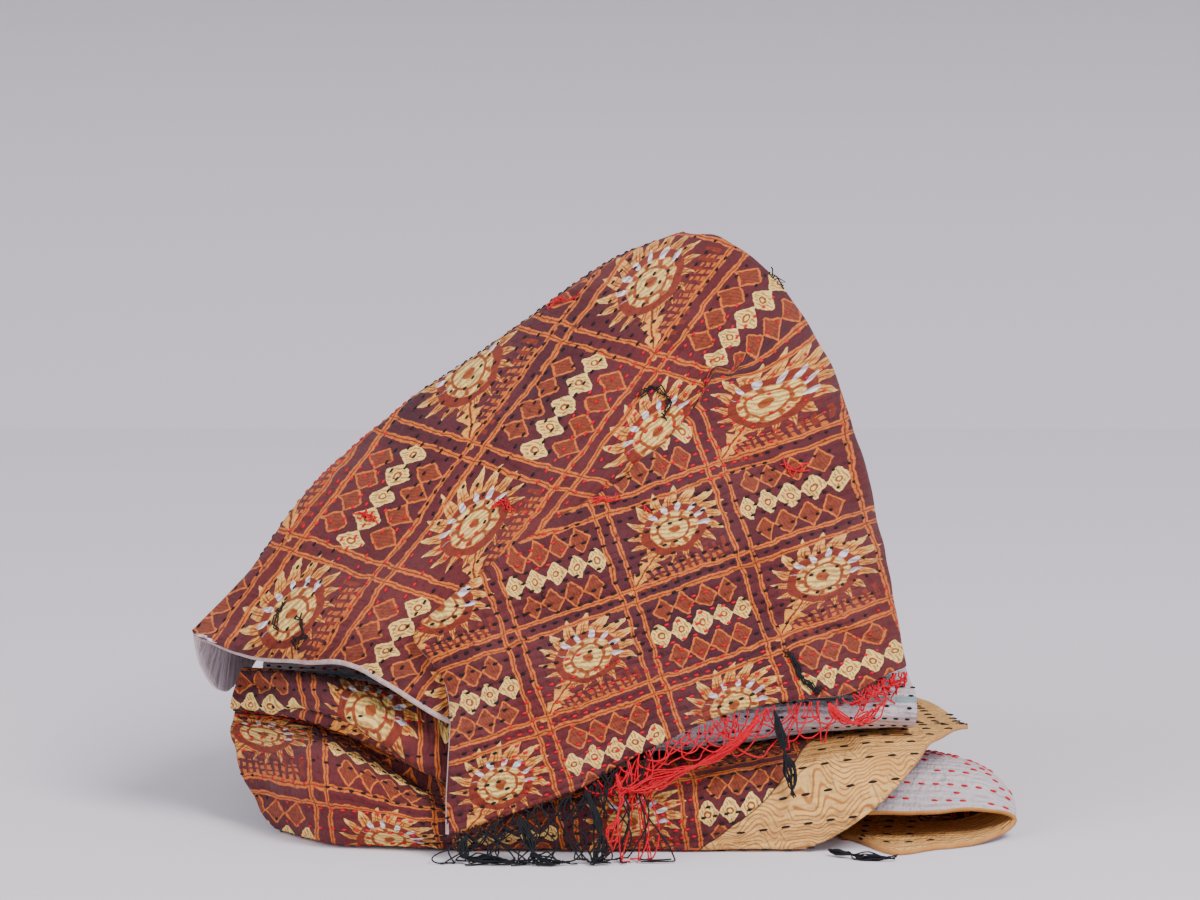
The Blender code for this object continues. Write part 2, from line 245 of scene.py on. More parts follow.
# %% The folded half
def section_values(x, values):
    """y and z at this x, blended from the sections on either side of it."""
    index = 0
    while index < len(SECTION_X) - 2 and x > SECTION_X[index + 1]:
        index += 1
    share = smooth_step(x, SECTION_X[index], SECTION_X[index + 1])
    low, high = values[2 * index:2 * index + 2], values[2 * index + 2:2 * index + 4]
    return [blend_points(a, b, share) for a, b in zip(low, high)]


def turned_under(across, x_left, x_right, amount):
    """x and drop where the right margin is turned under by amount, 0 to 1."""
    flat_x = x_left + (x_right - x_left) * across
    turn_start = 1.0 - MARGIN_SHARE - TURN_SHARE / 2
    run = (x_right - x_left) * 1.24
    turn_x = x_left + run * turn_start
    past = (across - turn_start) / TURN_SHARE
    if past <= 0.0:
        folded_x, drop = x_left + run * across, 0.0
    elif past <= 1.0:
        folded_x = turn_x + math.sin(math.pi * past) * (x_right - turn_x)
        drop = 1.0 - math.cos(math.pi * past)
    else:
        folded_x, drop = turn_x - (past - 1.0) * run * TURN_SHARE * 0.75, 2.0
    return blend_points(flat_x, folded_x, amount), drop * amount


def margin_hem_y(across):
    """How far forward the end hem reaches where its margin is turned under."""
    for (share, y), (next_share, next_y) in zip(MARGIN_HEM, MARGIN_HEM[1:]):
        if across <= next_share:
            return blend_points(y, next_y, smooth_step(across, share, next_share))
    return MARGIN_HEM[-1][1]


def pile_point(column, station):
    """A point of the folded half at a column's number and a station."""
    name, _, x_left, x_right = station[:4]
    across = column / SOLID_COLUMNS
    x, drop = turned_under(across, x_left, x_right, TURNED_UNDER.get(name, 0.0))
    y, z = section_values(x, station[4:])
    z += (FLOOR_LAYER - z) * drop / 2
    if name == "end_hem" and across > MARGIN_HEM[0][0]:
        y = margin_hem_y(across)
    rounding = smooth_step(x, ROUND_END_FROM, ROUND_END_TO)
    y += (ROUND_END_MIDDLE_Y - y) * 0.55 * rounding
    if z > FLOOR_LAYER:
        z -= 0.06 * rounding * (z - FLOOR_LAYER)
    return np.array((x, y, z), float)


# %% Rows of the whole quilt
FRONT_ROWS = 15
BACK_ROWS = 9
RIDGE_ROWS = 3
FINE_COLUMNS = 150
FINE_PER_FRONT_ROW = 6
FINE_PER_BACK_ROW = 4
columns = [SOLID_COLUMNS * k / FINE_COLUMNS for k in range(FINE_COLUMNS + 1)]


def round_ridge(rows):
    """Round the peak's edge, row by row, without lowering it."""
    nearby = range(FRONT_ROWS - RIDGE_ROWS, FRONT_ROWS + RIDGE_ROWS + 1)
    fade = np.array([smooth_step(c, 1.0, 2.0) for c in columns])[:, None]
    height = rows[FRONT_ROWS][:, 2].copy()
    for _ in range(RIDGE_ROWS):
        smoothed = {row: (rows[row - 1] + 2 * rows[row] + rows[row + 1]) / 4 for row in nearby}
        for row, points in smoothed.items():
            rows[row] = blend_points(rows[row], points, fade)
    lost = height - rows[FRONT_ROWS][:, 2]
    for row in nearby:
        share = 1.0 - abs(row - FRONT_ROWS) / (RIDGE_ROWS + 1)
        rows[row][:, 2] += lost * smooth_step(share, 0.0, 1.0)


def refine(rows, faces_before):
    """Smooth curves through the rows, with so many fine faces before each."""
    fine = []
    for index in range(1, len(rows)):
        before, after = rows[max(index - 2, 0)], rows[min(index + 1, len(rows) - 1)]
        for step in range(1, faces_before[index] + 1):
            fine.append(curve_through(before, rows[index - 1], rows[index], after,
                                      step / faces_before[index]))
    return fine


tent_rows = [np.array([front_point(c, k / FRONT_ROWS) for c in columns])
             for k in range(FRONT_ROWS + 1)]
tent_rows += [np.array([back_point(c, k / BACK_ROWS) for c in columns])
              for k in range(1, BACK_ROWS + 1)]
round_ridge(tent_rows)
station_rows = [np.array([pile_point(c, station) for c in columns]) for station in STATIONS]
tent_faces = [0] + [FINE_PER_FRONT_ROW] * FRONT_ROWS + [FINE_PER_BACK_ROW] * BACK_ROWS
pile_faces = [station[1] for station in STATIONS]
surface = np.array([tent_rows[0]] + refine(tent_rows, tent_faces)
                   + refine(station_rows, pile_faces))
surface[:, :, 2] = np.maximum(surface[:, :, 2], FLOOR_LAYER)
FRONT_LAST = FINE_PER_FRONT_ROW * FRONT_ROWS
TENT_LAST = sum(tent_faces)
ROWS = surface.shape[0] - 1
print("middle surface", surface.shape, "points")

# %% [markdown]
# A fold in quilted cloth is never a knife edge.  The two creases of the pleat are
# softened across a few millimetres.

# %% Soften the pleat's creases
def soften_columns(points, middle, reach, passes):
    """Average each row's points with their neighbours near one column."""
    near = np.exp(-((np.array(columns) - middle) / reach) ** 2)[None, 1:-1, None]
    for _ in range(passes):
        average = (points[:, :-2] + 2 * points[:, 1:-1] + points[:, 2:]) / 4
        points[:, 1:-1] += (average - points[:, 1:-1]) * near


front = surface[:FRONT_LAST + 1]
soften_columns(front, PANEL_COLUMNS, 0.8, 3)
soften_columns(front, PANEL_COLUMNS + PLEAT_COLUMNS, 0.8, 3)

# %% [markdown]
# ## Where the print lies on the cloth
#
# The print is square to the cloth's edges.  On the flap its rows run with the end
# hem; left of the pleat the cloth is turned, so there they run up from the side
# hem.  Round the pleat's point the two directions pass into each other.

# %% Print coordinates on the peak
SEEN_FROM = math.radians(8.0)
FLAP_CORNER = (-98.0, 7.4)
PLEAT_POINT = (81.8, 297.6)
FLAP_TURN = math.radians(18.8)
PANEL_TURN = math.radians(72.6)
PANEL_ACROSS, PANEL_ALONG, PANEL_SLANT = 0.86, 0.92, 0.34
PANEL_SHIFT = (-23.6, 17.4)


def turned(x, height, angle):
    """x and height measured along axes turned by angle."""
    return (x * math.cos(angle) + height * math.sin(angle),
            height * math.cos(angle) - x * math.sin(angle))


def print_place(x, height, side):
    """Print coordinates of a point seen at x and height; side is 0 left of the pleat."""
    on_flap = turned(x - FLAP_CORNER[0], height - FLAP_CORNER[1], FLAP_TURN)
    at_point = turned(PLEAT_POINT[0] - FLAP_CORNER[0], PLEAT_POINT[1] - FLAP_CORNER[1],
                      FLAP_TURN)
    across, up = turned(x - PLEAT_POINT[0], height - PLEAT_POINT[1], PANEL_TURN)
    on_panel = (at_point[0] + PANEL_ACROSS * across + PANEL_SHIFT[0],
                at_point[1] + PANEL_ALONG * (up + PANEL_SLANT * across) + PANEL_SHIFT[1])
    bearing = np.degrees(np.arctan2(height - PLEAT_POINT[1], x - PLEAT_POINT[0]))
    bearing = np.where((side == 0) & (bearing < 0), bearing + 360, bearing)
    bearing = np.where((side == 1) & (bearing > 160), bearing - 360, bearing)
    share = np.clip((bearing + 80) / 205, 0, 1)
    share = share * share * (3 - 2 * share)
    return np.stack([blend_points(a, b, share) for a, b in zip(on_flap, on_panel)], -1)


tent = surface[:TENT_LAST + 1]
seen_height = (tent[:, :, 2] * math.cos(SEEN_FROM)
               + (tent[:, :, 1] + 130.0) * math.sin(SEEN_FROM))
step_back = np.linalg.norm(np.diff(tent[FRONT_LAST:], axis=0), axis=2)
beyond = np.concatenate([np.zeros((1, len(columns))), np.cumsum(step_back, axis=0)])
seen_height[FRONT_LAST:] = seen_height[FRONT_LAST] + beyond
column_numbers = np.array(columns)
right_side = (column_numbers > PANEL_COLUMNS + PLEAT_COLUMNS / 2).astype(int)[None, :]
tent_print = print_place(tent[:, :, 0], seen_height, right_side)
inner = np.argmin(abs(column_numbers - PANEL_COLUMNS))
outer = np.argmin(abs(column_numbers - PANEL_COLUMNS - PLEAT_COLUMNS))
for column in range(inner + 1, outer):
    share = (column - inner) / (outer - inner)
    tent_print[:FRONT_LAST, column] = blend_points(tent_print[:FRONT_LAST, inner],
                                                   tent_print[:FRONT_LAST, outer], share)

# %% Print coordinates on the folded half, and the distance from its edges
PILE_TURN = math.radians(6.0)
folded = surface[TENT_LAST:]
middle_column = FINE_COLUMNS // 2
path = np.concatenate([[0], np.cumsum(np.linalg.norm(
    np.diff(folded[:, middle_column], axis=0), axis=1))])
pile_print = np.stack(turned(folded[:, :, 0] + 300.0, path[:, None] + 40.0, PILE_TURN), -1)
row_width = np.abs(np.diff(folded[:, :, 0], axis=1)).sum(axis=1)
row_width = np.maximum(row_width, 380.0)
from_side = (1 - np.linspace(0, 1, FINE_COLUMNS + 1))[None, :] * row_width[:, None]
from_end = np.broadcast_to((path[-1] - path)[:, None], from_side.shape)
floor_row = sum(pile_faces[:14])
from_side = np.where(np.arange(len(path))[:, None] < floor_row, 9000.0, from_side)
pile_edges = np.stack([from_side, from_end], -1)
print("path of the folded half", round(path[-1]), "mm; print on the peak from",
      tent_print.min((0, 1)).round(), "to", tent_print.max((0, 1)).round())

# %% [markdown]
# ## Unevenness
#
# Hand quilting draws the cloth into soft dimples, and the peak has a few long
# shallow creases.  They are moved into the surface here; the finest puckers are
# left to the material.

# %% Creases placed one by one
# x and height of both ends, width and depth: a trough is positive.
CREASES = (
    (-20, 250, -150, 175, 9, 2.2),
    (60, 330, -60, 262, 10, -2.4),
    (84, 286, 20, 240, 6, -3.0),
    (20, 240, -105, 150, 7, -2.5),
    (15, 225, 28, 120, 10, 2.8),
    (60, 235, 66, 110, 11, -2.4),
    (100, 250, 116, 120, 9, 2.2),
    (84, 150, 170, 128, 7, 2.0),
    (70, 190, 160, 185, 8, -1.8),
    (-60, 140, 40, 160, 9, 2.0),
    (110, 300, 150, 220, 8, 1.6),
)


# The same for the left end of the folded half: a dark dip, a mouth, a slanting fold.
PILE_CREASES = (
    (-220, 101, -165, 92, 5, 6.0),
    (-192, 84, -166, 74, 8, 9.0),
    (-180, 62, -158, 68, 6, -4.5),
    (-160, 76, -98, 30, 5, 7.0),
    (-150, 86, -92, 44, 8, -4.0),
    (-240, 60, -200, 70, 8, 3.5),
    (-215, 30, -150, 22, 7, 3.0),
    (-140, 22, -100, 50, 6, 2.5),
)


def crease_depth(x, height, table):
    """How deep all the creases together lie at a point seen at x and height."""
    depth = np.zeros_like(x)
    for x0, z0, x1, z1, width, deep in table:
        length = math.hypot(x1 - x0, z1 - z0)
        ux, uz = (x1 - x0) / length, (z1 - z0) / length
        run = (x - x0) * ux + (height - z0) * uz
        off = (x - x0) * uz - (height - z0) * ux
        past = np.maximum(np.maximum(-run, run - length), 0.0)
        depth += deep * np.exp(-(off / width) ** 2 - (past / (1.5 * width)) ** 2)
    return depth


def dimple(place, size, seed):
    """Smooth noise at the print coordinates of every point."""
    flat = place.reshape(-1, 2) / size
    values = [noise.noise(Vector((a, b, seed))) for a, b in flat]
    return np.array(values).reshape(place.shape[:2])


def normals(points):
    """Unit normals of the middle surface, on the printed side."""
    along_rows = np.gradient(points, axis=1)
    up_rows = np.gradient(points, axis=0)
    cross = np.cross(along_rows, up_rows)
    return cross / np.maximum(np.linalg.norm(cross, axis=2, keepdims=True), 1e-9)


whole_print = np.concatenate([tent_print, pile_print[1:]])
lift = 1.6 * dimple(whole_print, 42.0, 3.1) + 0.9 * dimple(whole_print, 15.0, 7.7)
lift[TENT_LAST:] *= 0.75
lift[:FRONT_LAST + 1] -= crease_depth(tent[:FRONT_LAST + 1, :, 0],
                                      seen_height[:FRONT_LAST + 1], CREASES)
towards_front = np.clip(-normals(surface)[TENT_LAST:, :, 1] * 1.6, 0, 1)
seen_folded = folded[:, :, 2] + (folded[:, :, 1] + 130.0) * math.sin(SEEN_FROM)
lift[TENT_LAST:] -= towards_front * crease_depth(folded[:, :, 0], seen_folded, PILE_CREASES)
on_floor = surface[:, :, 2] <= FLOOR_LAYER + 0.01
lift[on_floor] = 0.0
surface += normals(surface) * lift[:, :, None]
surface[:, :, 2] = np.maximum(surface[:, :, 2], FLOOR_LAYER)
facing = normals(surface)
print("unevenness from", lift.min().round(1), "to", lift.max().round(1), "mm")

# %% [markdown]
# ## The cloth
#
# A flat grid takes the folded places point by point, and keeps two UV maps: the
# print's own coordinates, and the distance from the side and end hems.

# %% Lay the grid on the folds
def put(points):
    """Millimetres in the tables' frame to metres in the model's frame."""
    return (points - TABLE_MIDDLE) * MM


def new_object(name, bm, materials):
    mesh = bpy.data.meshes.new(name)
    bm.to_mesh(mesh)
    bm.free()
    for material in materials:
        mesh.materials.append(material)
    mesh.shade_smooth()
    made = bpy.data.objects.new(name, mesh)
    scene.collection.objects.link(made)
    return made


def write_map(mesh, name, values):
    """Store one value pair per face corner as a UV map, in metres."""
    layer = mesh.uv_layers.new(name=name)
    layer.uv.foreach_set("vector", (values * MM).ravel().astype(np.float32))


def lay_cloth():
    bm = bmesh.new()
    bmesh.ops.create_grid(bm, x_segments=FINE_COLUMNS, y_segments=ROWS, size=1.0)
    flat = np.array([vert.co[:2] for vert in bm.verts])
    column_of = np.rint((flat[:, 0] + 1) / 2 * FINE_COLUMNS).astype(int)
    row_of = np.rint((flat[:, 1] + 1) / 2 * ROWS).astype(int)
    places = put(surface)[row_of, column_of]
    for vert, place in zip(bm.verts, places):
        vert.co = place
    cloth = new_object("quilt_cloth", bm, ())
    mesh = cloth.data
    corners = np.empty(len(mesh.loops), dtype=np.int64)
    mesh.loops.foreach_get("vertex_index", corners)
    rows, cols = row_of[corners], column_of[corners]
    lowest = rows.reshape(-1, 4).min(axis=1).repeat(4)
    on_pile = lowest >= TENT_LAST
    pile_row = np.maximum(rows - TENT_LAST, 0)
    tent_row = np.minimum(rows, TENT_LAST)
    write_map(mesh, "print", np.where(on_pile[:, None], pile_print[pile_row, cols],
                                      tent_print[tent_row, cols]))
    write_map(mesh, "edges", np.where(on_pile[:, None], pile_edges[pile_row, cols], 9000.0))
    return cloth


cloth = lay_cloth()
print("cloth", len(cloth.data.polygons), "faces")

# %% [markdown]
# ## Shader arithmetic
#
# The print is drawn with distances: each shape gives how far a point lies outside
# it, in millimetres.  A small helper turns plain arithmetic into math nodes.

# %% Plain arithmetic for shader nodes
class Wire:
    """A number in a node tree, on which plain arithmetic makes math nodes."""

    def __init__(self, tree, socket):
        self.tree = tree
        self.socket = socket

    def join(self, operation, *others, clamp=False):
        node = self.tree.nodes.new("ShaderNodeMath")
        node.operation = operation
        node.use_clamp = clamp
        for slot, value in enumerate((self, *others)):
            if isinstance(value, Wire):
                self.tree.links.new(value.socket, node.inputs[slot])
            else:
                node.inputs[slot].default_value = value
        return Wire(self.tree, node.outputs[0])

    def __add__(self, other):
        return self.join("ADD", other)

    def __sub__(self, other):
        return self.join("SUBTRACT", other)

    def __mul__(self, other):
        return self.join("MULTIPLY", other)

    def __truediv__(self, other):
        return self.join("DIVIDE", other)

    def size(self):
        return self.join("ABSOLUTE")

    def power(self, exponent):
        return self.join("POWER", exponent)

    def sine(self):
        return self.join("SINE")

    def inside(self, soft=0.35):
        """1 where this distance is below zero, with a soft edge."""
        return self.join("MULTIPLY_ADD", -1.0 / soft, 0.5, clamp=True)

    def beyond(self, edge, soft=0.02):
        """1 where this is above an edge."""
        return (self - edge).join("MULTIPLY_ADD", 1.0 / soft, 0.5, clamp=True)

    def least(self, other):
        return self.join("MINIMUM", other)

    def most(self, other):
        return self.join("MAXIMUM", other)

    def nearest(self):
        """The nearest whole number."""
        return (self + 0.5).join("FLOOR")

    def from_middle(self, pitch):
        """The distance from the middle of a repeat of this pitch, with its sign."""
        return (self / pitch - (self / pitch).nearest()) * pitch


def linear(red, green, blue):
    """A screen colour, 0 to 255, as a linear colour."""
    return tuple((c / 255 / 12.92) if c / 255 <= 0.04045 else ((c / 255 + 0.055) / 1.055) ** 2.4
                 for c in (red, green, blue)) + (1.0,)


def new_group(name, inputs, outputs):
    """An empty shader group with named inputs and outputs."""
    tree = bpy.data.node_groups.new(name, "ShaderNodeTree")
    for label, kind in inputs:
        tree.interface.new_socket(label, in_out="INPUT", socket_type=kind)
    for label, kind in outputs:
        tree.interface.new_socket(label, in_out="OUTPUT", socket_type=kind)
    entry = tree.nodes.new("NodeGroupInput")
    leave = tree.nodes.new("NodeGroupOutput")
    return tree, {label: Wire(tree, entry.outputs[label]) for label, _ in inputs}, leave


def use_group(tree, group, **inputs):
    """A group node with its inputs joined or set; names use _ for spaces."""
    node = tree.nodes.new("ShaderNodeGroup")
    node.node_tree = group
    for label, value in inputs.items():
        socket = node.inputs[label.replace("_", " ")]
        if isinstance(value, Wire):
            tree.links.new(value.socket, socket)
        else:
            socket.default_value = value
    return node


def plug(tree, value, socket):
    """Join a wire or set a constant on a socket."""
    if isinstance(value, Wire):
        tree.links.new(value.socket, socket)
    else:
        socket.default_value = value


def mix(tree, first, second, share):
    """A colour between two colours."""
    node = tree.nodes.new("ShaderNodeMix")
    node.data_type = "RGBA"
    plug(tree, share, node.inputs[0])
    plug(tree, first, node.inputs[6])
    plug(tree, second, node.inputs[7])
    return Wire(tree, node.outputs[2])


def cloud(tree, across, along_it, size, detail=2.0, seed=0.0):
    """Smooth noise, 0 to 1, of this size in millimetres, over the cloth."""
    place = tree.nodes.new("ShaderNodeCombineXYZ")
    plug(tree, across / size, place.inputs[0])
    plug(tree, along_it / size, place.inputs[1])
    place.inputs[2].default_value = seed
    node = tree.nodes.new("ShaderNodeTexNoise")
    node.inputs["Scale"].default_value = 1.0
    node.inputs["Detail"].default_value = detail
    tree.links.new(place.outputs[0], node.inputs["Vector"])
    return Wire(tree, node.outputs["Fac"])


# %% [markdown]
# ## The printed face
#
# The plum ground carries a lattice of double orange lines.  Its cells hold two
# motifs in turn: three rows of small diamonds, the middle row pale gold and
# hatched, and a round flower with leaf points, white drops and a leafy tail.

# %% Sizes and colours of the print
CELL_ACROSS, CELL_ALONG = 76.0, 57.0
FIRST_ACROSS, FIRST_ALONG = 42.0, 18.6      # middle of the first cell
LINE_IN_ACROSS, LINE_IN_ALONG = 4.6, 4.2    # lines lie this far inside a cell's edge
LINE_HALF_WIDTH = 1.45
DIAMOND_ROWS, DIAMOND_PITCH = 14.6, 13.4
DIAMOND_HALF = (6.9, 8.4)
PETALS, DROPS, SPECKLES = 17, 13, 9         # round the flower
BORDER_WIDTH = 78.0
END_SHARE = 1.3                             # the border is narrower by this at the end hem
PLUM, DEEP_PLUM, RUST = linear(92, 42, 50), linear(56, 28, 38), linear(122, 42, 36)
ORANGE, DARK_ORANGE = linear(212, 112, 44), linear(130, 50, 34)
BROWN, PALE_GOLD = linear(136, 66, 42), linear(252, 212, 122)
GOLD, GOLD_BROWN, DROP = linear(238, 162, 72), linear(160, 80, 34), linear(232, 228, 232)
PLACE = [("Across", "NodeSocketFloat"), ("Along", "NodeSocketFloat")]
PLACE_AND_GROUND = [*PLACE, ("Ground", "NodeSocketColor")]
COLOUR_OUT = [("Colour", "NodeSocketColor")]
HEIGHT_OUT = [("Height", "NodeSocketFloat")]

# %% Group: three rows of diamonds
def diamonds_group():
    tree, given, leave = new_group("diamond_rows", PLACE_AND_GROUND, COLOUR_OUT)
    across, along_it, ground = given["Across"], given["Along"], given["Ground"]
    row = (along_it / DIAMOND_ROWS).nearest().most(-1.0).least(1.0)
    outer_row = row.size()
    b = along_it - row * DIAMOND_ROWS
    a = (across + outer_row * (DIAMOND_PITCH / 2)).from_middle(DIAMOND_PITCH)
    outside = ((a.size() / DIAMOND_HALF[0]) + (b.size() / DIAMOND_HALF[1]) - 1.0) * 5.4
    whole = ((across - a).size() - 28.0).most(along_it.size() - 23.0)
    diamond = outside.most(whole).inside()
    edge = (outside + 1.0).inside()
    wobble = (cloud(tree, across, along_it, 4.0, seed=1.0) - 0.5) * 2.0
    hatch = ((a + b * 0.35 + wobble).from_middle(1.9).size() - 0.42).inside(0.3)
    away = (a * a + b * b).power(0.5)
    dot = ((away - 2.6).size() - 0.45).inside().most((away - 1.1).inside())
    pale = mix(tree, PALE_GOLD, GOLD_BROWN, hatch * 0.75)
    pale = mix(tree, pale, mix(tree, GOLD_BROWN, PALE_GOLD, dot), (away - 3.1).inside())
    pale = mix(tree, PALE_GOLD, pale, edge)
    dull = mix(tree, BROWN, DARK_ORANGE, hatch * 0.9)
    dull = mix(tree, ORANGE, dull, edge)
    inside = mix(tree, pale, dull, outer_row)
    plug(tree, mix(tree, ground, inside, diamond), leave.inputs["Colour"])
    return tree


# %% Group: a round flower with a leafy tail
def flower_group():
    tree, given, leave = new_group("leafy_flower", PLACE_AND_GROUND, COLOUR_OUT)
    ground = given["Ground"]
    a = (given["Across"] - 3.0) * 0.6 + given["Along"] * 0.22
    b = (given["Along"] - 2.0) * 0.86 - given["Across"] * 0.18
    strokes = (((a - b * 0.2).from_middle(3.9).size() - 0.8)
               .most((b + 20.5).size() - 3.6)).most((a + 6.0).size() - 21.0).inside()
    colour = mix(tree, ground, DARK_ORANGE, strokes)
    down = a * -0.86 - b * 0.51
    over = a * 0.51 - b * 0.86
    leaf = (down + over.size() * 0.7).from_middle(6.2).size() / 3.1
    width = (leaf * 0.75 + 0.35) * (down * -0.2 + 8.2).most(0.8)
    tail = (over.size() - width).most((down - 22.0).size() - 13.0)
    rib = ((over.size() - 0.45).most((down - 22.0).size() - 12.0)).inside()
    colour = mix(tree, colour, mix(tree, GOLD, DARK_ORANGE, rib), tail.inside())
    radius = (a * a + b * b).power(0.5)
    angle = b.join("ARCTAN2", a)
    point = (angle * (PETALS / math.tau) + radius * 0.045).from_middle(1.0).size() * 2.0
    comb = (angle - 0.9).join("COSINE") * 3.2
    reach = (point.join("SUBTRACT", 1.0).size().power(0.8)) * 10.0 + comb + 10.5
    petals = (radius - reach).inside()
    vein = (point.join("SUBTRACT", 1.0).size().join("SUBTRACT", 0.8)).size() - 0.10
    petal_colour = mix(tree, GOLD, GOLD_BROWN, vein.inside(0.06) * radius.beyond(13.0, 0.5))
    petal_colour = mix(tree, petal_colour, PALE_GOLD, radius.beyond(17.5, 4.0) * 0.6)
    colour = mix(tree, colour, petal_colour, petals)
    ring = ((radius - 11.4).size() - 1.7).inside()
    colour = mix(tree, colour, DARK_ORANGE, ring)
    arc = (angle * (DROPS / math.tau)).from_middle(1.0) * (math.tau / DROPS) * radius
    rise = (radius - 11.6) / 2.5
    drop = ((arc / 1.15) * (arc / 1.15) + rise * rise) - 1.0
    shown = (angle + 0.7).sine().beyond(0.1)
    colour = mix(tree, colour, DROP, drop.inside(0.3) * shown)
    petal_rings = ((radius - 6.4).size() - 0.6).inside().most((radius - 2.2).inside(0.5))
    speckle = ((angle * (SPECKLES / math.tau)).from_middle(1.0).size() - 0.16).inside(0.1)
    body = mix(tree, PALE_GOLD, GOLD_BROWN, petal_rings.most(speckle * radius.beyond(6.4)))
    colour = mix(tree, colour, body, (radius - 9.2).inside())
    wobble = (cloud(tree, a, b, 5.0, seed=2.0) - 0.5) * 3.0
    scales = ((a * 0.6 + b * 0.8 + wobble).from_middle(2.3).size() - 0.5).inside(0.4)
    colour = mix(tree, colour, DARK_ORANGE, scales * (radius - 17.0).inside(2.0) * 0.55)
    plug(tree, colour, leave.inputs["Colour"])
    return tree


# %% Group: the whole print
def print_group(diamonds, flower):
    tree, given, leave = new_group("lattice_print", PLACE, COLOUR_OUT)
    u, v = given["Across"], given["Along"]
    u = u + (cloud(tree, u, v, 11.0) - 0.5) * 4.6 + (cloud(tree, u, v, 2.4) - 0.5) * 1.3
    v = v + (cloud(tree, u, v, 11.0, seed=4.0) - 0.5) * 4.6
    v = v + (cloud(tree, u, v, 2.4, seed=8.0) - 0.5) * 1.3
    cell_u = ((u - FIRST_ACROSS) / CELL_ACROSS).nearest()
    cell_v = ((v - FIRST_ALONG) / CELL_ALONG).nearest()
    a = u - FIRST_ACROSS - cell_u * CELL_ACROSS
    b = v - FIRST_ALONG - cell_v * CELL_ALONG
    odd = (((cell_u + cell_v) / 2.0).join("FRACT").size()) * 2.0
    worn = cloud(tree, u, v, 34.0, detail=4.0, seed=2.0)
    ground = mix(tree, PLUM, DEEP_PLUM, worn.beyond(0.55, 0.5))
    ground = mix(tree, ground, RUST, cloud(tree, u, v, 120.0, seed=9.0).beyond(0.52, 0.4) * 0.55)
    one = use_group(tree, diamonds, Across=a, Along=b, Ground=ground)
    two = use_group(tree, flower, Across=a, Along=b, Ground=ground)
    colour = mix(tree, Wire(tree, two.outputs[0]), Wire(tree, one.outputs[0]), odd)
    line_across = (a.size() - CELL_ACROSS / 2 + LINE_IN_ACROSS).size()
    line_along = (b.size() - CELL_ALONG / 2 + LINE_IN_ALONG).size() + 0.05
    lines = line_across.least(line_along) - LINE_HALF_WIDTH
    ink = cloud(tree, u, v, 5.0, detail=3.0, seed=6.0).beyond(0.33, 0.12)
    line_colour = mix(tree, ORANGE, DARK_ORANGE, (lines + 1.1).inside(0.3))
    colour = mix(tree, colour, line_colour, lines.inside() * ink)
    dashes = ((a - 2.0).size() - 25.0).most((b + 19.5).size() - 3.4)
    dashes = dashes.most((a + b * 0.3).from_middle(4.6).size() - 1.2)
    wobble = cloud(tree, u, v, 6.0, seed=3.0) * 3.0
    dashes = dashes.most((b + wobble).from_middle(2.9).size() - 0.9)
    on_flowers = odd.join("SUBTRACT", 1.0).size()
    colour = mix(tree, colour, ORANGE, dashes.inside() * on_flowers * 0.8)
    tone = cloud(tree, u, v, 2.2, detail=3.0, seed=5.0)
    colour = mix(tree, colour, DEEP_PLUM, tone.beyond(0.6, 0.25) * 0.4)
    fade = cloud(tree, u, v, 60.0, detail=4.0, seed=12.0)
    colour = mix(tree, colour, linear(190, 150, 150), fade.beyond(0.6, 0.3) * 0.05)
    plug(tree, colour, leave.inputs["Colour"])
    return tree


# %% [markdown]
# ## Border, back and weave
#
# The gold border has wandering parallel veins with small leaves.  The back is a
# pale pink-white cotton with one grey-teal stripe.  Both cloths share one plain
# weave, and the quilting puckers both.

# %% Group: the gold border
def border_group():
    tree, given, leave = new_group("veined_border", PLACE, COLOUR_OUT)
    u, v = given["Across"], given["Along"]
    wave = v + (cloud(tree, u, v * 0.5, 22.0, detail=1.0, seed=3.0) - 0.5) * 46.0
    veins = (wave.from_middle(3.3).size() - 0.55).inside(0.5)
    patches = cloud(tree, u, v, 26.0, seed=8.0).beyond(0.56, 0.04)
    leaf_u = (u + v * 0.4).from_middle(11.0)
    leaf_v = (v - u * 0.3).from_middle(15.0)
    leaf = ((leaf_u.size() / 3.6) + (leaf_v / 6.4) * (leaf_v / 6.4) - 1.0)
    leaf_colour = mix(tree, linear(236, 190, 118), linear(196, 138, 72),
                      (leaf_u.size() - 0.5).inside())
    ground = mix(tree, linear(240, 190, 116), linear(190, 122, 62), veins)
    ground = mix(tree, ground, mix(tree, ground, leaf_colour, leaf.inside(0.2)), patches)
    tone = cloud(tree, u, v, 18.0, detail=4.0, seed=1.0)
    colour = mix(tree, ground, linear(198, 134, 68), tone.beyond(0.55, 0.4) * 0.5)
    plug(tree, colour, leave.inputs["Colour"])
    return tree


# %% Group: weave and puckers
STITCH_ROWS, STITCH_PITCH = 5.8, 7.2


def weave_group():
    tree, given, leave = new_group("quilted_weave", PLACE, HEIGHT_OUT)
    u, v = given["Across"], given["Along"]
    threads = ((u * (math.tau / 0.7)).sine() * (v * (math.tau / 0.7)).sine()) * 0.05
    wander = (cloud(tree, u, v, 14.0, seed=1.5) - 0.5) * 5.0
    rows = ((v + wander).from_middle(STITCH_ROWS).size() / (STITCH_ROWS / 2))
    gathers = (cloud(tree, u, v * 0.45, 3.4, detail=2.0, seed=3.5) - 0.5) * 2.6
    soft = (cloud(tree, u, v, 9.0, detail=2.0, seed=2.5) - 0.5) * 4.4
    height = threads + rows.power(0.7) * 1.3 + gathers + soft
    plug(tree, height, leave.inputs["Height"])
    return tree


weave = weave_group()
face_print = print_group(diamonds_group(), flower_group())
border = border_group()
print("groups", [group.name for group in bpy.data.node_groups])


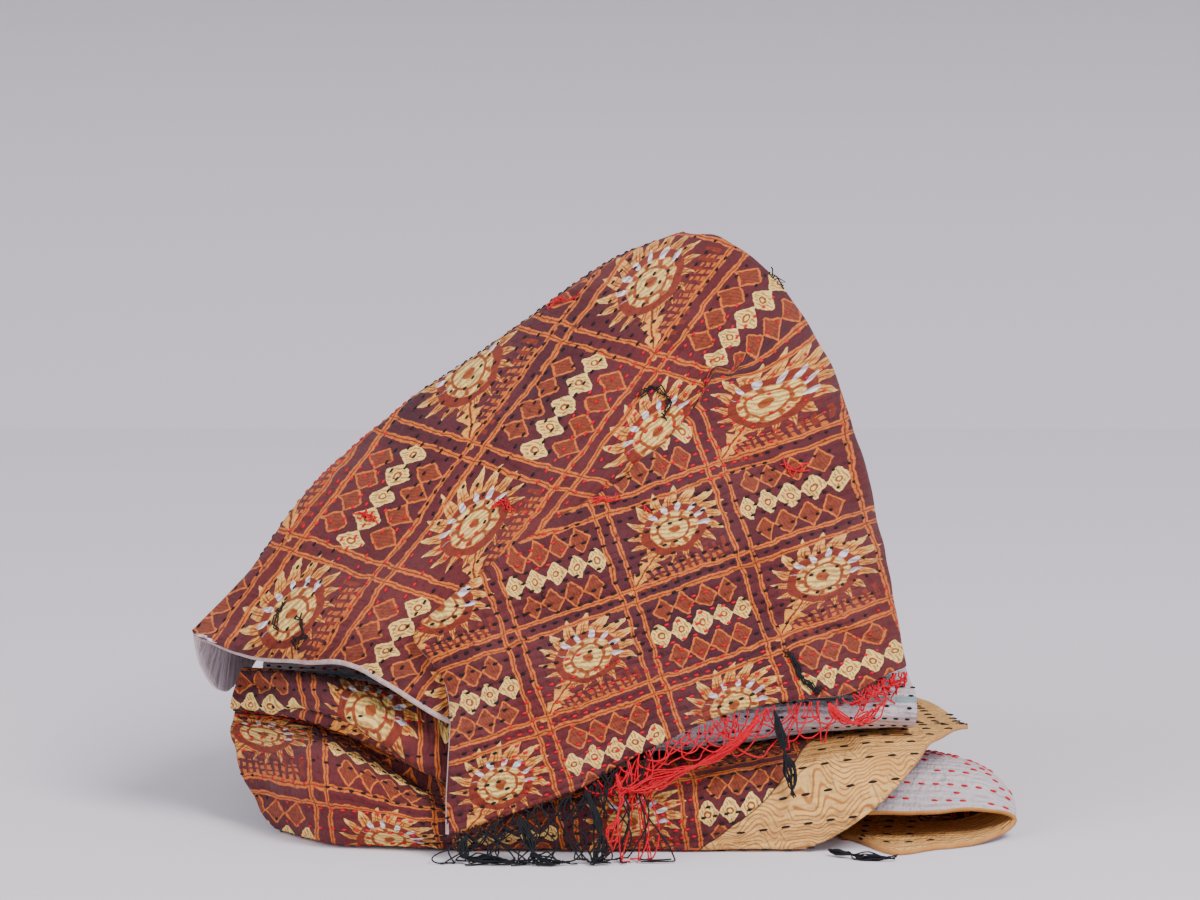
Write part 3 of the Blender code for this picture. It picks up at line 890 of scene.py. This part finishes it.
# %% Materials of the cloth
def read_map(tree, name):
    """A UV map's two values in millimetres."""
    node = tree.nodes.new("ShaderNodeUVMap")
    node.uv_map = name
    split = tree.nodes.new("ShaderNodeSeparateXYZ")
    tree.links.new(node.outputs[0], split.inputs[0])
    return Wire(tree, split.outputs[0]) * 1000.0, Wire(tree, split.outputs[1]) * 1000.0


def new_material(name, roughness, sheen=0.0):
    material = bpy.data.materials.new(name)
    material.use_nodes = True
    shader = material.node_tree.nodes["Principled BSDF"]
    shader.inputs["Roughness"].default_value = roughness
    shader.inputs["Specular IOR Level"].default_value = 0.25
    shader.inputs["Sheen Weight"].default_value = sheen
    shader.inputs["Sheen Roughness"].default_value = 0.5
    return material, material.node_tree, shader


def add_relief(tree, shader, height, strength=1.0):
    """Bump from a height in millimetres."""
    bump = tree.nodes.new("ShaderNodeBump")
    bump.inputs["Distance"].default_value = MM
    bump.inputs["Strength"].default_value = strength
    tree.links.new(height.socket, bump.inputs["Height"])
    tree.links.new(bump.outputs[0], shader.inputs["Normal"])


def printed_face():
    material, tree, shader = new_material("printed_face", 0.92, 0.03)
    u, v = read_map(tree, "print")
    side, end = read_map(tree, "edges")
    lattice = Wire(tree, use_group(tree, face_print, Across=u, Along=v).outputs[0])
    gold = Wire(tree, use_group(tree, border, Across=u, Along=v).outputs[0])
    past_border = side.least(end * END_SHARE) - BORDER_WIDTH
    band = past_border.inside(0.8)
    colour = mix(tree, lattice, gold, band)
    seam = (past_border.size() - 0.6).inside(0.8)
    plug(tree, mix(tree, colour, DEEP_PLUM, seam * 0.8), shader.inputs["Base Color"])
    height = Wire(tree, use_group(tree, weave, Across=u, Along=v).outputs[0])
    add_relief(tree, shader, height + seam * -0.8)
    return material


def backing_face():
    material, tree, shader = new_material("backing_face", 0.92, 0.1)
    u, v = read_map(tree, "print")
    side, end = read_map(tree, "edges")
    stripe = ((end - STRIPE_FROM_END).size() - 3.2).inside(0.8)
    tone = cloud(tree, u, v, 40.0, detail=4.0, seed=7.0)
    colour = mix(tree, linear(222, 208, 212), linear(188, 176, 184), tone.beyond(0.55, 0.5))
    colour = mix(tree, colour, linear(134, 158, 164), stripe * 0.9)
    plug(tree, colour, shader.inputs["Base Color"])
    height = Wire(tree, use_group(tree, weave, Across=u, Along=v).outputs[0])
    wrinkles = (cloud(tree, u * 0.25, v, 4.5, detail=3.0, seed=5.5) - 0.5) * 2.2
    add_relief(tree, shader, height + wrinkles)
    return material


def hem_face():
    material, tree, shader = new_material("turned_hem", 0.9, 0.1)
    u, v = read_map(tree, "print")
    side, end = read_map(tree, "edges")
    band = (side.least(end) - BORDER_WIDTH).inside(0.8)
    tone = cloud(tree, u, v, 6.0, detail=3.0, seed=7.0)
    white = mix(tree, linear(224, 208, 206), linear(176, 160, 164), tone)
    gold = mix(tree, linear(214, 158, 88), linear(176, 112, 56), tone)
    plug(tree, mix(tree, white, gold, band), shader.inputs["Base Color"])
    add_relief(tree, shader, tone * 1.2)
    return material


STRIPE_FROM_END = float(path[-1] - path[sum(pile_faces[:6]) + 2])
for material in (printed_face(), backing_face(), hem_face()):
    cloth.data.materials.append(material)
thicken = cloth.modifiers.new("thickness", "SOLIDIFY")
thicken.thickness = THICKNESS * MM
thicken.offset = 0.0
thicken.use_rim = True
thicken.material_offset = 1
thicken.material_offset_rim = 2
print("stripe lies", round(STRIPE_FROM_END), "mm from the end hem")

# %% [markdown]
# ## Running stitches
#
# Kantha stitches are short dashes in rows.  Each is a small lens of thread half
# sunk in the cloth, on the rows that the puckers follow.

# %% Find the places of the stitches
def stitch_places(first_row, last_row, print_map, side, row_pitch, pitch, keep):
    """Places, directions and normals of stitches on rows of the print map.

    keep takes the print place and the point, and says the thread's colour or None.
    """
    found = []
    points = surface[first_row:last_row + 1]
    upward = facing[first_row:last_row + 1] * side
    lattice = np.stack([print_map[..., 0] / pitch, print_map[..., 1] / row_pitch], -1)
    corners = np.stack([lattice[:-1, :-1], lattice[:-1, 1:], lattice[1:, 1:], lattice[1:, :-1]])
    low = np.ceil(corners.min(0) - 1e-9).astype(int)
    high = np.floor(corners.max(0) + 1e-9).astype(int)
    holds = np.argwhere((high >= low).all(-1) & ((high - low).max(-1) < 3))
    for row, column in holds:
        quad = corners[:, row, column]
        spots = [points[row, column], points[row, column + 1], points[row + 1, column + 1],
                 points[row + 1, column]]
        for i in range(low[row, column, 0], high[row, column, 0] + 1):
            for j in range(low[row, column, 1], high[row, column, 1] + 1):
                for second, third in ((1, 2), (2, 3)):
                    edge_a, edge_b = quad[second] - quad[0], quad[third] - quad[0]
                    area = edge_a[0] * edge_b[1] - edge_a[1] * edge_b[0]
                    if abs(area) < 1e-6:
                        continue
                    rest = np.array((i + 0.5 * (j % 2), j)) - quad[0]
                    s = (rest[0] * edge_b[1] - rest[1] * edge_b[0]) / area
                    t = (edge_a[0] * rest[1] - edge_a[1] * rest[0]) / area
                    if s < 0 or t < 0 or s + t > 1:
                        continue
                    leg_a, leg_b = spots[second] - spots[0], spots[third] - spots[0]
                    spot = spots[0] + s * leg_a + t * leg_b
                    run = (leg_a * edge_b[1] - leg_b * edge_a[1]) / area
                    thread = keep((i * pitch, j * row_pitch), spot, row, column)
                    if thread and np.linalg.norm(run) > 1e-6:
                        found.append((thread, spot, run / np.linalg.norm(run),
                                      upward[row, column]))
                    break
    return found


def patchy(place, size, seed):
    return noise.noise(Vector((place[0] / size, place[1] / size, seed)))


def face_thread(place, spot, row, column):
    """Red where the noise says so, black elsewhere, with a few gaps."""
    if patchy(place, 7.0, 5.0) > 0.42:
        return None
    return "red" if patchy(place, 75.0, 2.0) > 0.10 else "black"


face_stitches = stitch_places(0, TENT_LAST, tent_print, 1.0, STITCH_ROWS, STITCH_PITCH,
                              face_thread)
print(len(face_stitches), "stitches on the peak")


# %% Sew the stitches on
# Length and width of a stitch.
FACE_STITCH, BORDER_STITCH, CORNER_STITCH = (3.9, 1.9), (6.6, 2.0), (5.2, 2.2)


def sew(name, stitches, size, material):
    """One joined mesh of small thread lenses."""
    length, width = size
    bm = bmesh.new()
    for _, spot, run, out in stitches:
        over = np.cross(out, run)
        place = Matrix.Identity(4)
        middle = put(spot + out * THICKNESS / 2) + out * 0.12 * MM
        for axis, (direction, half) in enumerate(((run, length / 2), (over, width / 2),
                                                  (out, width * 0.42))):
            for part in range(3):
                place[part][axis] = direction[part] * half * MM
        for part in range(3):
            place[part][3] = middle[part]
        bmesh.ops.create_icosphere(bm, subdivisions=1, radius=1.0, matrix=place)
    return new_object(name, bm, (material,))


def speckled(tree, scale):
    """Fine noise, 0 to 1, over the object's own space."""
    place = tree.nodes.new("ShaderNodeTexCoord")
    node = tree.nodes.new("ShaderNodeTexNoise")
    node.inputs["Scale"].default_value = scale
    tree.links.new(place.outputs["Object"], node.inputs["Vector"])
    return Wire(tree, node.outputs["Fac"])


def thread_material(name, colour, deep):
    material, tree, shader = new_material(name, 0.75, 0.02)
    tone = speckled(tree, 900.0)
    plug(tree, mix(tree, deep, colour, tone.beyond(0.5, 0.5)), shader.inputs["Base Color"])
    add_relief(tree, shader, tone * 0.3)
    return material


threads = {"black": thread_material("black_cotton", linear(26, 28, 34), linear(12, 14, 18)),
           "red": thread_material("red_cotton", linear(226, 0, 40), linear(172, 0, 26))}
sewn = []
for shade in ("black", "red"):
    chosen = [stitch for stitch in face_stitches if stitch[0] == shade]
    sewn.append(sew(f"stitches_{shade}", chosen, FACE_STITCH, threads[shade]))

# %% Stitches on the folded half
FIRST_SHOWN = sum(pile_faces[:15])


def pile_thread(place, spot, row, column):
    """Gold border: black.  Elsewhere as on the peak, where the fold can be seen."""
    if row + FIRST_SHOWN > sum(pile_faces[:28]) or patchy(place, 7.0, 5.0) > 0.45:
        return None
    if from_side[row + FIRST_SHOWN, column] < BORDER_WIDTH + 2.0:
        return None
    return "red" if patchy(place, 60.0, 8.0) > 0.12 else "black"


def border_thread(place, spot, row, column):
    return "black" if from_side[row + FIRST_SHOWN, column] < BORDER_WIDTH else None


shown_print = pile_print[FIRST_SHOWN:]
pile_stitches = stitch_places(TENT_LAST + FIRST_SHOWN, ROWS, shown_print, 1.0,
                              STITCH_ROWS, STITCH_PITCH, pile_thread)
border_stitches = stitch_places(TENT_LAST + FIRST_SHOWN, ROWS, shown_print, 1.0,
                                7.6, 14.0, border_thread)
curl_first, curl_last = sum(pile_faces[:4]), sum(pile_faces[:9])


def back_thread(place, spot, row, column):
    if patchy(place, 9.0, 5.0) > 0.3:
        return None
    return "red" if patchy(place, 50.0, 1.0) > 0.25 else "black"


curl_stitches = stitch_places(TENT_LAST + curl_first, TENT_LAST + curl_last,
                              pile_print[curl_first:curl_last + 1], -1.0,
                              STITCH_ROWS, STITCH_PITCH, back_thread)
corner_first = sum(pile_faces[:32])


def corner_thread(place, spot, row, column):
    return "red" if spot[0] > 150 and patchy(place, 11.0, 4.0) > -0.2 else None


corner_stitches = stitch_places(TENT_LAST + corner_first, ROWS, pile_print[corner_first:],
                                -1.0, 7.0, 9.0, corner_thread)
for shade in ("black", "red"):
    chosen = [s for s in pile_stitches + curl_stitches if s[0] == shade]
    sewn.append(sew(f"pile_stitches_{shade}", chosen, FACE_STITCH, threads[shade]))
sewn.append(sew("border_stitches", border_stitches, BORDER_STITCH, threads["black"]))
sewn.append(sew("corner_stitches", corner_stitches, CORNER_STITCH, threads["red"]))
print([(piece.name, len(piece.data.polygons)) for piece in sewn])

# %% [markdown]
# ## Loose thread ends
#
# Where the quilting thread was cut, its ends hang from the hem in bundles of fine
# cotton.  Each strand follows its bundle's route and wanders a little from it.

# %% Routes of the bundles, as in the solids
TAILS = {
    "tail_black_corner": ("black", 16, 9.0,
     ((-84, -179, 17), (-86, -183, 9), (-82, -186, 3), (-68, -189, 2.2), (-52, -186, 2.2))),
    "tail_black_left": ("black", 18, 10.0,
     ((-52, -178, 28), (-47, -183, 17), (-42, -188, 6), (-34, -191, 2.2), (-20, -188, 2.2))),
    "tail_black_middle": ("black", 16, 8.0,
     ((-10, -176, 44), (-4, -181, 30), (-1, -185, 16), (-2, -189, 5), (-8, -191, 2.2))),
    "tail_red_left": ("red", 7, 6.0,
     ((8, -175, 55), (10, -178, 42), (9, -180, 28), (5, -182, 14), (2, -186, 3))),
    "tail_red_swag": ("red", 18, 11.0,
     ((98, -161, 90), (84, -163, 74), (62, -165, 60), (40, -170, 53), (22, -177, 47),
      (12, -181, 44))),
    "tail_black_right": ("black", 16, 5.0,
     ((106, -160, 92), (110, -161, 78), (113, -161, 64), (116, -162, 50), (118, -163, 38))),
    "tail_red_right": ("red", 12, 9.0,
     ((140, -151, 95), (146, -151, 86), (157, -147, 82), (168, -141, 88), (178, -134, 98))),
    "tuft_floor": ("black", 14, 7.0,
     ((140, -156, 3.4), (150, -164, 2.6), (163, -172, 2.2), (180, -176, 2.2))),
}
THREAD = 1.0


def strand(curve, points):
    spline = curve.splines.new("POLY")
    spline.points.add(len(points) - 1)
    for spot, point in zip(spline.points, points):
        spot.co = (*put(np.array(point)), 1.0)


def round_curve(name, radius, resolution, material):
    """An empty 3-D curve that gives every line put on it a round section."""
    curve = bpy.data.curves.new(name, "CURVE")
    curve.dimensions = "3D"
    curve.bevel_depth = radius * MM
    curve.bevel_resolution = resolution
    curve.use_fill_caps = True
    curve.materials.append(material)
    made = bpy.data.objects.new(name, curve)
    scene.collection.objects.link(made)
    return made


def thread_curve(name, shade):
    return round_curve(name, THREAD / 2, 1, threads[shade])


def bundle(name, shade, count, spread, route):
    """Fine strands that follow one route and part from each other along it."""
    made = thread_curve(f"{name}_threads", shade)
    for number in range(count):
        seed = 31.0 * number + len(name)
        points = []
        length = 0.75 + 0.45 * abs(noise.noise(Vector((seed, 0.5, 0.5))))
        for step in range(25):
            share = min(1.0, step / 24 * length)
            point = along(route, share)
            apart = spread * (0.25 + share)
            for axis, reach in enumerate((1.0, 0.35, 0.6)):
                slow = noise.noise(Vector((seed, axis * 7.0, share * 2.2)))
                fast = noise.noise(Vector((seed, axis * 7.0 + 3.0, share * 7.0)))
                point[axis] += apart * reach * (1.5 * slow + 0.4 * fast)
            point[2] = max(point[2], 0.5 + 0.35 * (number % 4))
            points.append(point)
        strand(made.data, points)
    return made


tails = {name: bundle(name, *facts) for name, facts in TAILS.items()}
print(len(tails), "bundles of loose thread")

# %% Loops and ends that hang from the hem
def wander(number, axis, share=0.0):
    """Smooth noise of its own for each strand and axis."""
    return noise.noise(Vector((number * 17.3, axis * 9.1, share * 3.0)))


def hem_loops(name, shade, count, first, last, fall, reach):
    """Slack loops between two places on the front hem, given as shares of its length."""
    made = thread_curve(name, shade)
    for number in range(count):
        start_share = first + (last - first) * ((number * 0.618) % 1.0)
        end_share = max(first - 0.06, start_share - reach * (0.3 + 1.6 * abs(wander(number, 1))))
        start, finish = along(FRONT_HEM, start_share), along(FRONT_HEM, end_share)
        slack = fall * (0.35 + 2.2 * abs(wander(number, 2)))
        points = []
        for step in range(19):
            t = step / 18
            point = start + (finish - start) * t
            point[2] -= slack * math.sin(math.pi * t) ** 0.7 + 1.5
            point[1] -= 2.5 + 3.0 * math.sin(math.pi * t) + 5.0 * wander(number, 3, t)
            point[0] += 9.0 * wander(number, 4, t)
            point[2] = max(point[2], 0.6)
            points.append(point)
        strand(made.data, points)
    return made


def hem_ends(name, shade, count, first, last, spread):
    """Cut ends that fall from the front hem and lie curled where they land."""
    made = thread_curve(name, shade)
    for number in range(count):
        start = along(FRONT_HEM, first + (last - first) * ((number * 0.618) % 1.0))
        longest = 0.6 + 0.8 * abs(wander(number, 5))
        points = []
        for step in range(25):
            t = step / 24 * longest
            point = start.copy()
            point[2] = max(0.5 + 0.5 * (number % 5), start[2] * (1 - (t / 0.62) ** 1.3))
            point[0] += spread * (wander(number, 6, t) * t * 2.4 + 0.35 * math.sin(9 * t + number))
            point[1] -= 3.0 + 9.0 * t + 16.0 * t * abs(wander(number, 7, t))
            points.append(point)
        strand(made.data, points)
    return made


loose = [
    hem_loops("red_loops", "red", 34, 0.34, 0.74, 19.0, 0.12),
    hem_loops("red_fringe_loops", "red", 20, 0.80, 0.99, 11.0, 0.07),
    hem_loops("black_hem_loops", "black", 16, 0.10, 0.40, 18.0, 0.08),
    hem_ends("black_ends", "black", 30, 0.03, 0.40, 15.0),
    hem_ends("red_ends", "red", 7, 0.36, 0.41, 7.0),
]

# %% Loose ends on the face
# Colour, strands, and places seen at x and height.
FACE_ENDS = (
    ("black", 3, ((-199, 152), (-203, 138), (-194, 127), (-186, 133), (-188, 143))),
    ("black", 3, ((26, 281), (33, 285), (41, 276), (36, 266))),
    ("black", 2, ((104, 360), (109, 357), (112, 350))),
    ("black", 2, ((-41, 168), (-37, 158), (-27, 154))),
    ("black", 2, ((-49, 148), (-52, 138), (-46, 130))),
    ("black", 5, ((114, 124), (118, 113), (125, 104), (136, 98))),
    ("red", 4, ((-4, 213), (8, 217), (22, 215), (28, 210))),
    ("red", 4, ((-68, 213), (-61, 216), (-54, 208))),
    ("red", 3, ((-151, 204), (-145, 207), (-138, 203))),
    ("red", 3, ((110, 240), (115, 233), (124, 236))),
    ("red", 3, ((-32, 338), (-25, 342), (-18, 341))),
)


def on_face(x, height):
    """The place on the peak's front seen at x and height, and the way out of it."""
    front = slice(0, FRONT_LAST)
    away = (tent[front, :, 0] - x) ** 2 + (seen_height[front] - height) ** 2
    away += np.where(facing[front, :, 1] > -0.1, 1e6, 0.0)
    row, column = np.unravel_index(np.argmin(away), away.shape)
    place = tent[row, column] + facing[row, column] * (THICKNESS / 2 + 0.6)
    return Vector(place), Vector(facing[row, column])


def face_ends(shade):
    made = thread_curve(f"face_ends_{shade}", shade)
    for index, (colour, count, route) in enumerate(FACE_ENDS):
        if colour != shade:
            continue
        spots = [on_face(*spot) for spot in route]
        for number in range(count):
            points = []
            for step in range(4 * (len(spots) - 1) + 1):
                leg = min(step // 4, len(spots) - 2)
                t = step / 4 - leg
                place = spots[leg][0].lerp(spots[leg + 1][0], t)
                out = spots[leg][1].lerp(spots[leg + 1][1], t)
                key = index * 5 + number
                side = Vector((wander(key, 1, step * 0.2), 0.0, wander(key, 2, step * 0.2)))
                points.append(place + out * (0.5 + 2.0 * abs(wander(key, 3, step * 0.2)))
                              + side * 6.0)
            strand(made.data, points)
    return made


loose += [face_ends("black"), face_ends("red")]
print(len(loose), "groups of loops and ends")

# %% Pale rolled rim of the side hem
RIM = 2.1
FREE_EDGE_TOP = 138.0


def rim_roll():
    """A thin roll along the left hem and the flap's free edge."""
    material, tree, shader = new_material("hem_roll", 0.9, 0.1)
    tone = speckled(tree, 260.0)
    plug(tree, mix(tree, linear(150, 116, 112), linear(220, 196, 190), tone),
         shader.inputs["Base Color"])
    add_relief(tree, shader, tone * 1.6)
    made = round_curve("side_hem_roll", RIM, 2, material)
    up_edge = [row for row in range(FRONT_LAST) if tent[row, outer, 2] < FREE_EDGE_TOP]
    for points in (tent[0, :inner + 1] - (0.0, 0.6, 0.9), tent[up_edge, outer]):
        strand(made.data, points)
    return made


hem_roll = rim_roll()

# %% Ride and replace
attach(cloth, "root")
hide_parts("quilt")
for name, piece in tails.items():
    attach(piece, "root")
    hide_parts(name)
for piece in sewn + loose:
    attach(piece, "root")
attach(hem_roll, "root")

# %% [markdown]
# ## Studio
#
# A pale seamless backdrop, one large soft light high on the right and a weaker one
# on the left, and a long lens at a low height.

# %% Backdrop
def backdrop():
    bm = bmesh.new()
    bmesh.ops.create_grid(bm, x_segments=1, y_segments=1, size=3.0,
                          matrix=Matrix.Translation((0.0, -1.2, -0.0004)))
    back = [edge for edge in bm.edges if all(v.co.y > 1.5 for v in edge.verts)]
    bmesh.ops.spin(bm, geom=back, cent=(0.0, 1.8, 1.2), axis=(1.0, 0.0, 0.0),
                   angle=math.radians(80), steps=24, use_merge=True)
    rim = [edge for edge in bm.edges if all(v.co.z > 0.9 for v in edge.verts)]
    raised = bmesh.ops.extrude_edge_only(bm, edges=rim[-1:])
    lifted = [item for item in raised["geom"] if isinstance(item, bmesh.types.BMVert)]
    bmesh.ops.translate(bm, verts=lifted, vec=(0.0, 0.3, 2.5))
    bmesh.ops.recalc_face_normals(bm, faces=bm.faces)
    material, tree, shader = new_material("paper", 0.95)
    shader.inputs["Base Color"].default_value = linear(222, 215, 224)
    return new_object("backdrop", bm, (material,))


backdrop()

# %% Lights
def soft_light(name, place, target, size, power, colour):
    lamp = bpy.data.lights.new(name, "AREA")
    lamp.shape = "DISK"
    lamp.size = size
    lamp.energy = power
    lamp.color = colour
    made = bpy.data.objects.new(name, lamp)
    made.location = place
    made.rotation_euler = (Vector(target) - Vector(place)).to_track_quat("-Z", "Y").to_euler()
    scene.collection.objects.link(made)


soft_light("key", (1.3, -2.2, 2.4), (0, 0, 0.15), 1.4, 106, (1.0, 0.985, 0.97))
soft_light("fill", (-2.4, -2.0, 1.6), (0, 0, 0.15), 2.2, 40, (0.97, 0.98, 1.0))
world = bpy.data.worlds.new("studio")
scene.world = world
world.use_nodes = True
world.node_tree.nodes["Background"].inputs[0].default_value = (0.93, 0.93, 1.0, 1.0)
world.node_tree.nodes["Background"].inputs[1].default_value = 0.76

# %% Camera
DISTANCE = 5.0
SEEN_WIDTH = 0.744
lens = bpy.data.cameras.new("camera")
lens.sensor_width = 36.0
lens.lens = 36.0 * DISTANCE / SEEN_WIDTH
camera = bpy.data.objects.new("camera", lens)
aim = Vector((-0.0003, -0.1164, 0.2505))
camera.location = aim + DISTANCE * Vector((0, -math.cos(SEEN_FROM), math.sin(SEEN_FROM)))
camera.rotation_euler = (aim - camera.location).to_track_quat("-Z", "Y").to_euler()
scene.collection.objects.link(camera)
scene.camera = camera
